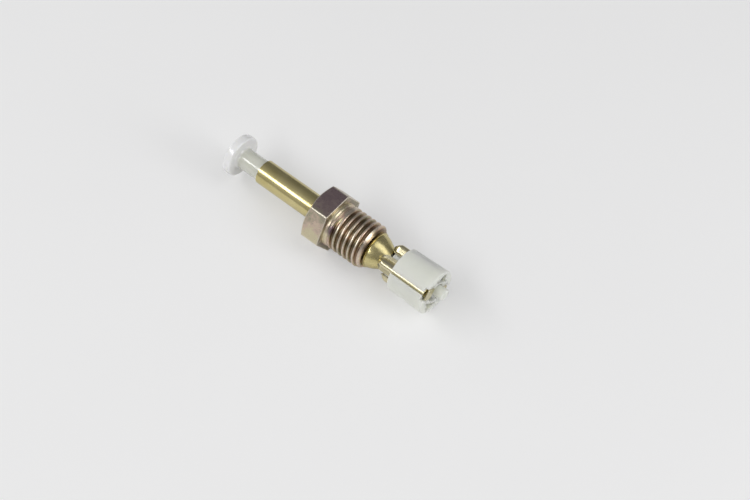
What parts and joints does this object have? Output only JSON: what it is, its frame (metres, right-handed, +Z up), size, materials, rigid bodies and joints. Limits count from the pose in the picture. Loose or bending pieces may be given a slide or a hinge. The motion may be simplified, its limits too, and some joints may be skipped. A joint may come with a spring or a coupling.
{
  "type": "plunger switch",
  "caption": "Spring-loaded plunger switch: nylon pin in a brass barrel that slides in a hex bush with a male thread, with a slotted nylon connector end.",
  "frame": {"origin": "bottom centre of the whole switch, which lies on one flat of its hex", "axes": "+X along the switch's axis from the plunger's head to the connector, +Z up, square to the hex flat that it lies on"},
  "size_m": [0.0656, 0.0162, 0.014],
  "materials": {
    "bush_steel": "yellow-passivated zinc plate with a faint purple, green and yellow sheen",
    "barrel_brass": "drawn tube, bright with faint lengthwise marks",
    "strip_brass": "pressed strip, bright on the rib and dull on the flanges",
    "nylon": "natural nylon, slightly see-through with a soft shine",
    "spring_steel": "bright wire and turned steel"
  },
  "bodies": {
    "bush": {"threaded_bush": "bush_steel"},
    "barrel": {"barrel": "barrel_brass", "connector_body": "nylon", "contact_strip_1": "strip_brass", "contact_strip_2": "strip_brass", "contact_strip_3": "strip_brass", "contact_strip_4": "strip_brass", "end_cap": "nylon", "spring_seat": "barrel_brass", "return_spring": "spring_steel"},
    "plunger": {"plunger": "nylon", "pull_rod": "spring_steel", "contact_disc": "barrel_brass", "push_nut": "spring_steel"}
  },
  "joints": [
    {"name": "barrel_slide", "type": "slide", "parent": "bush", "child": "barrel", "axis": [1, 0, 0], "range_m": [-0.0004, 0.012]},
    {"name": "plunger_slide", "type": "slide", "parent": "barrel", "child": "plunger", "axis": [1, 0, 0], "range_m": [0, 0.006], "stiffness_N_per_m": 400, "springref_m": -0.005, "deforming": ["return_spring"]}
  ]
}
